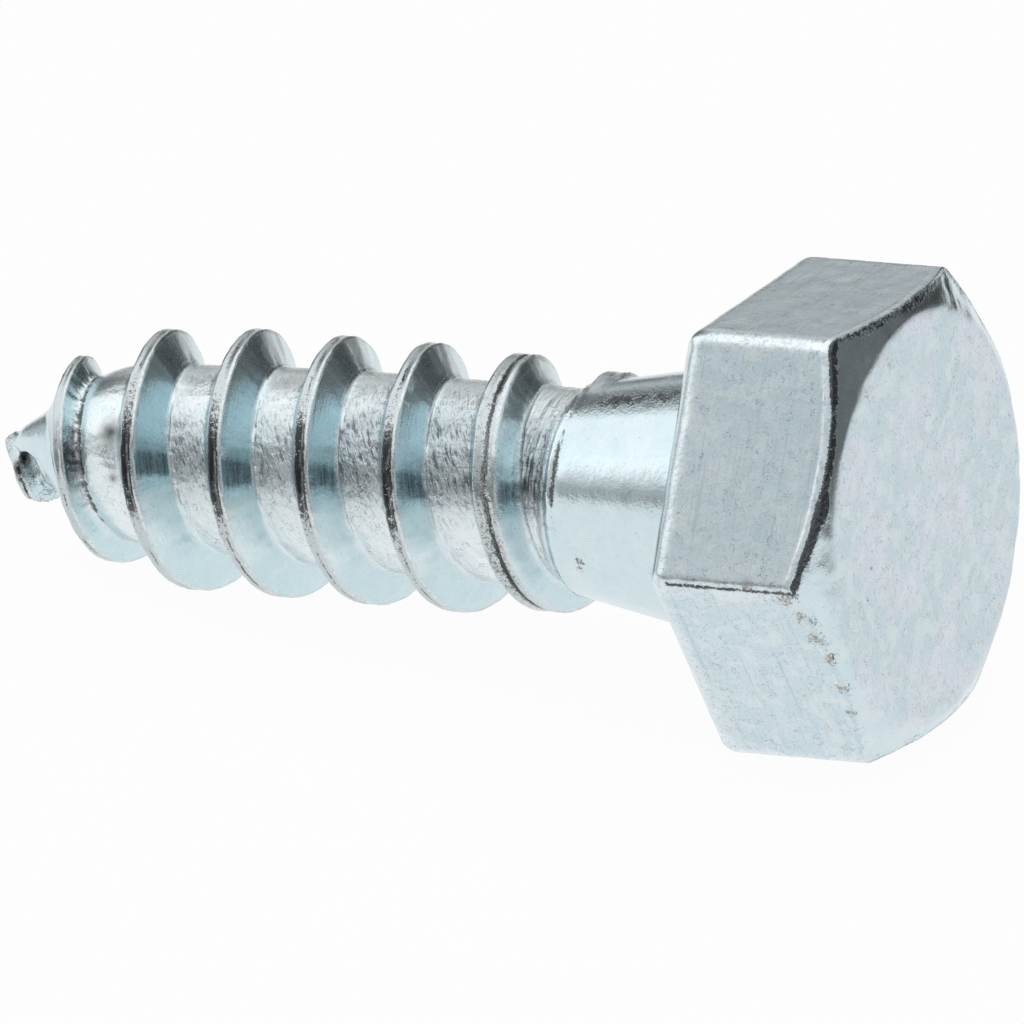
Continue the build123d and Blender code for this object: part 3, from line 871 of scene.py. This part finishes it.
    # Smoothest on the shank
    roughness = plus(0.18, times(root, 0.10), times(top, 0.16), times(flat, 0.10), times(middling, 0.04))
    roughness = plus(roughness, times(flank, 0.07), times(painted_light_share, 0.09))
    roughness = plus(roughness, times(most(border, rough), 0.15), times(rubbed, 0.2), times(crest, 0.05))
    roughness = plus(roughness, times(span(grain, 0.34, 0.27), 0.25))

    # Relief in millimetres: fine pits, the strokes and a slow unevenness
    amount = plus(0.003, times(root, 0.008), times(rough, 0.04), times(border, 0.04), times(head, 0.003))
    amount = plus(amount, times(scuffs_and_painted_shade, 0.012), times(rings, 0.01))
    scuffing = times(scuffs_and_painted_shade, plus(0.02, times(root, 0.045)))
    height = plus(times(off(fine), amount), times(off(strokes), plus(times(root, 0.009), scuffing)))
    height = plus(height, times(off(stain), 0.012))
    turned = plus(times(rings, 0.022), times(flank, 0.004), times(flat, 0.003))
    height = plus(height, times(off(strokes), turned))
    height = plus(height, times(off(grain), plus(0.0015, times(plus(crest, root), 0.003))))
    relief = node(tree, "Bump", {"Height": height, "Distance": MM, "Strength": 1.0}).outputs[0]

    inputs = {"Base Color": plate, "Metallic": 1.0, "Roughness": roughness, "Normal": relief}
    shader = node(tree, "BsdfPrincipled", inputs)
    node(tree, "OutputMaterial", {"Surface": shader.outputs[0]})
    return material


# How far the floor's own white outweighs its lit colour where a camera or a reflection sees it
FLOOR_GLOW = 0.955
FLOOR_REACH = 1.5


def make_floor():
    """Plain white floor, which keeps the object's shadow."""
    mesh = bpy.data.meshes.new("floor")
    signs = [(-1, -1), (1, -1), (1, 1), (-1, 1)]
    mesh.from_pydata([(FLOOR_REACH * a, FLOOR_REACH * b, 0) for a, b in signs], [], [(0, 1, 2, 3)])
    floor = bpy.data.objects.new("floor", mesh)
    bpy.context.scene.collection.objects.link(floor)
    material = bpy.data.materials.new("floor")
    material.use_nodes = True
    tree = material.node_tree
    tree.nodes.clear()
    paint = node(tree, "BsdfDiffuse", {"Color": (0.8, 0.8, 0.8, 1)})
    glow = node(tree, "Emission", {"Color": (1, 1, 1, 1), "Strength": 1})
    path = node(tree, "LightPath").outputs
    seen = path["Is Camera Ray"]
    for ray in ("Is Glossy Ray", "Is Transmission Ray"):
        seen = node(tree, "Math", {0: seen, 1: path[ray]}, operation="MAXIMUM").outputs[0]
    share = node(tree, "Math", {0: seen, 1: FLOOR_GLOW}, operation="MULTIPLY").outputs[0]
    mix = node(tree, "MixShader", {0: share, 1: paint.outputs[0], 2: glow.outputs[0]})
    node(tree, "OutputMaterial", {"Surface": mix.outputs[0]})
    mesh.materials.append(material)


# The studio's walls by compass direction: azimuth of the middle, inner and outer reach in degrees, and what
# the part adds to the brightness
WALL_PARTS = [
    (187, 24, 32, 0.90),
    (240, 16, 40, 0.36),
    (115, 12, 22, 0.36),
    (146, 8, 16, -0.14),
    (30, 45, 75, -0.14),
    (82, 16, 28, -0.10),
]
WALL_LEVEL = 0.30
CEILING_LEVEL = 1.2
CEILING_START = 36
CEILING_FULL = 52
# The gap at the horizon, darkest toward the front, as for the walls
GAP_LEVEL = 0.50
GAP_PARTS = [(250, 14, 32, -0.44), (80, 30, 70, -0.40)]
GAP_START = 7
GAP_END = 15


def make_world():
    """Soft studio: a white ceiling, a light wall on the left, darker walls, and a grey gap at the horizon."""
    world = bpy.data.worlds.new("studio")
    bpy.context.scene.world = world
    world.use_nodes = True
    tree = world.node_tree
    tree.nodes.clear()

    def smooth(value, start, end, low, high):
        inputs = {"Value": value, "From Min": start, "From Max": end, "To Min": low, "To Max": high}
        return node(tree, "MapRange", inputs, interpolation_type="SMOOTHSTEP").outputs[0]

    direction = node(tree, "TexCoord").outputs["Generated"]
    level_way = node(tree, "VectorMath", {0: direction, 1: (1, 1, 0)}, operation="MULTIPLY").outputs[0]
    level_way = node(tree, "VectorMath", {0: level_way}, operation="NORMALIZE").outputs[0]

    def around(level, parts):
        for azimuth, inner, outer, extra in parts:
            inputs = {0: level_way, 1: (cos(radians(azimuth)), sin(radians(azimuth)), 0)}
            facing = node(tree, "VectorMath", inputs, operation="DOT_PRODUCT").outputs["Value"]
            part = smooth(facing, cos(radians(outer)), cos(radians(inner)), 0, extra)
            level = node(tree, "Math", {0: level, 1: part}, operation="ADD").outputs[0]
        return level

    wall = around(WALL_LEVEL, WALL_PARTS)
    height = node(tree, "SeparateXYZ", {0: direction}).outputs["Z"]
    gap = node(tree, "Math", {0: around(GAP_LEVEL, GAP_PARTS), 1: wall}, operation="MINIMUM").outputs[0]
    above_gap = smooth(height, sin(radians(GAP_START)), sin(radians(GAP_END)), 0, 1)
    studio = node(tree, "Mix", {0: above_gap, 2: gap, 3: wall}).outputs[0]
    ceiling = smooth(height, sin(radians(CEILING_START)), sin(radians(CEILING_FULL)), 0, 1)
    studio = node(tree, "Mix", {0: ceiling, 2: studio, 3: CEILING_LEVEL}).outputs[0]
    background = node(tree, "Background", {"Color": (1, 1, 1, 1), "Strength": studio})
    white = node(tree, "Background", {"Color": (1, 1, 1, 1), "Strength": 1.0})
    seen = node(tree, "LightPath").outputs["Is Camera Ray"]
    mix = node(tree, "MixShader", {0: seen, 1: background.outputs[0], 2: white.outputs[0]})
    node(tree, "OutputWorld", {"Surface": mix.outputs[0]})


# The photograph's camera: its axes, its place in millimetres and its long lens
CAMERA_RIGHT = (0.89115133, 0.45158454, 0.04382595)
CAMERA_DOWN = (0.20267802, -0.30980877, -0.92894572)
CAMERA_FORWARD = (-0.40591986, 0.83671377, -0.36761276)
CAMERA_PLACE = (353.07795804, -725.32517723, 322.9111352)
LENS = 1063.3
SENSOR_WIDTH = 36


def make_camera():
    """The photograph's viewing angle: a long lens looking down on the screw from the front left."""
    data = bpy.data.cameras.new("camera")
    data.lens = LENS
    data.sensor_width = SENSOR_WIDTH
    data.clip_start = 0.01
    camera = bpy.data.objects.new("camera", data)
    bpy.context.scene.collection.objects.link(camera)
    axes = (Vector(CAMERA_RIGHT), -Vector(CAMERA_DOWN), -Vector(CAMERA_FORWARD))
    turn = Matrix(axes).transposed().to_4x4()
    camera.matrix_world = Matrix.Translation(Vector(CAMERA_PLACE) * MM) @ turn
    bpy.context.scene.camera = camera


screw = make_screw()
screw.data.materials.append(zinc_material(pose()))
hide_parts("lag_screw")
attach(screw, "root")

make_floor()
make_world()
make_camera()
bpy.context.scene.view_settings.view_transform = "Standard"

bpy.context.view_layer.update()
